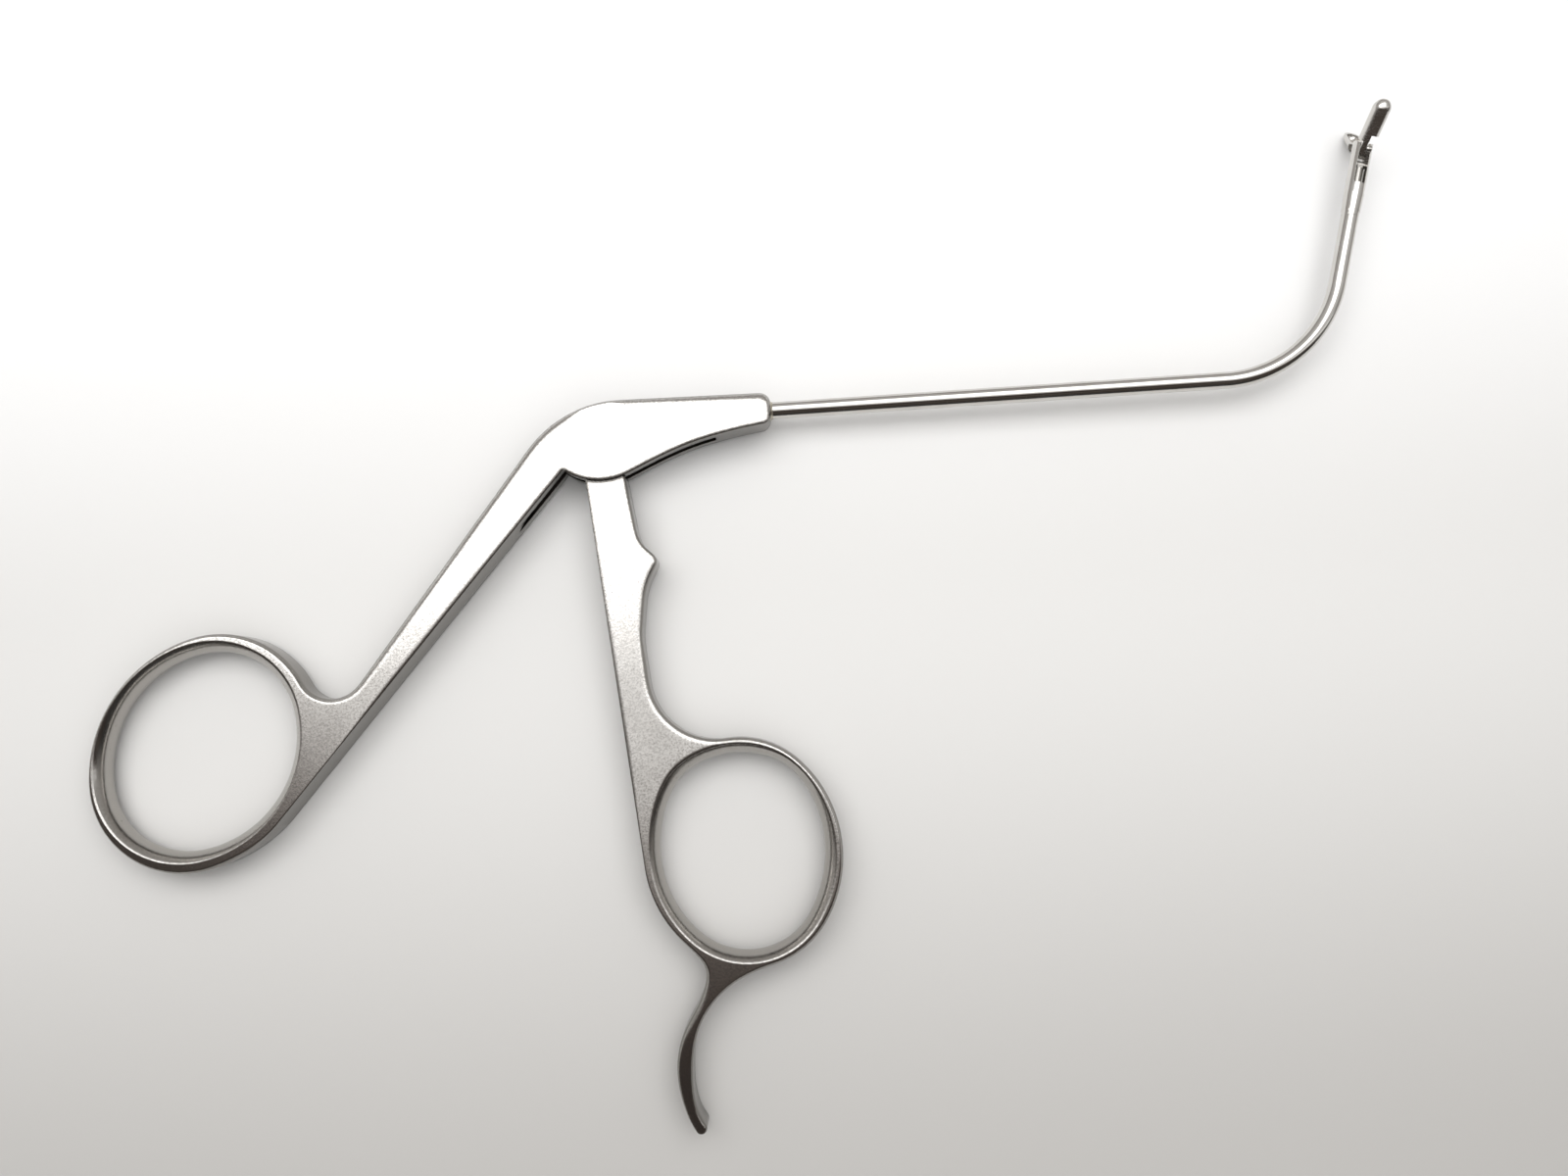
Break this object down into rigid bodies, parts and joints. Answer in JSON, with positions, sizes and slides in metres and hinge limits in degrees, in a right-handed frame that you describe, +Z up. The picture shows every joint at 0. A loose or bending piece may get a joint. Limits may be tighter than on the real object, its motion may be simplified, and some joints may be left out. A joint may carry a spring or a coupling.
{
  "type": "double spoon forceps",
  "caption": "Ring-handled forceps with a bent tubular shaft; squeezing the finger ring pulls a rod that closes both cupped spoon jaws.",
  "frame": {"origin": "foot of the lever's pivot axis on the underside plane of the handles", "axes": "+X along the straight run of the shaft towards the bend, +Y in the handle plane towards the side the shaft bends to, +Z up through the thickness of the handles"},
  "size_m": [0.2033, 0.147, 0.0119],
  "materials": {
    "satin_steel": "bead-blasted satin",
    "polished_steel": "polished",
    "jaw_steel": "polished",
    "inner_steel": "machined"
  },
  "bodies": {
    "handle_frame": {"fixed_handle": "satin_steel", "handle_pivot_pin": "satin_steel", "shaft_tube": "polished_steel", "jaw_clevis": "polished_steel", "jaw_pivot_pin": "polished_steel", "flex_wire": "inner_steel"},
    "lever": {"moving_handle": "satin_steel", "tang_pin": "inner_steel"},
    "pull_rod": {"rod_head": "inner_steel", "drive_rod": "inner_steel", "proximal_sleeve": "inner_steel"},
    "crosshead_carriage": {"crosshead": "inner_steel", "crosshead_pin": "inner_steel", "distal_sleeve": "inner_steel"},
    "upper_spoon": {"upper_jaw": "jaw_steel", "upper_tail_pin": "inner_steel"},
    "lower_spoon": {"lower_jaw": "jaw_steel", "lower_tail_pin": "inner_steel"},
    "upper_toggle": {"upper_link": "inner_steel"},
    "lower_toggle": {"lower_link": "inner_steel"}
  },
  "joints": [
    {"name": "lever_squeeze", "type": "hinge", "parent": "handle_frame", "child": "lever", "pos_m": [0, 0, 0.00275], "axis": [0, 0, -1], "range_deg": [0, 18]},
    {"name": "rod_slide", "type": "slide", "parent": "handle_frame", "child": "pull_rod", "axis": [-1, 0, 0], "range_m": [0, 0.00104]},
    {"name": "crosshead_slide", "type": "slide", "parent": "handle_frame", "child": "crosshead_carriage", "axis": [-0.284, -0.9588, 0], "range_m": [0, 0.00104]},
    {"name": "upper_jaw_hinge", "type": "hinge", "parent": "handle_frame", "child": "upper_spoon", "pos_m": [0.12212, 0.03519, 0.00275], "axis": [-0.9588, 0.284, 0], "range_deg": [0, 42]},
    {"name": "lower_jaw_hinge", "type": "hinge", "parent": "handle_frame", "child": "lower_spoon", "pos_m": [0.12212, 0.03519, 0.00275], "axis": [0.9588, -0.284, 0], "range_deg": [0, 42]},
    {"name": "upper_link_hinge", "type": "hinge", "parent": "crosshead_carriage", "child": "upper_toggle", "pos_m": [0.12152, 0.03314, 0.00275], "axis": [0.9588, -0.284, 0], "range_deg": [0, 8.6]},
    {"name": "lower_link_hinge", "type": "hinge", "parent": "crosshead_carriage", "child": "lower_toggle", "pos_m": [0.12152, 0.03314, 0.00275], "axis": [-0.9588, 0.284, 0], "range_deg": [0, 8.6]}
  ],
  "couplings": [
    {"joint": "rod_slide", "follows": "lever_squeeze", "m_per_rad": 0.0033112},
    {"joint": "crosshead_slide", "follows": "lever_squeeze", "m_per_rad": 0.0033112},
    {"joint": "upper_jaw_hinge", "follows": "lever_squeeze", "ratio": 2.3333},
    {"joint": "lower_jaw_hinge", "follows": "lever_squeeze", "ratio": 2.3333},
    {"joint": "upper_link_hinge", "follows": "lever_squeeze", "ratio": 0.47774},
    {"joint": "lower_link_hinge", "follows": "lever_squeeze", "ratio": 0.47774}
  ]
}
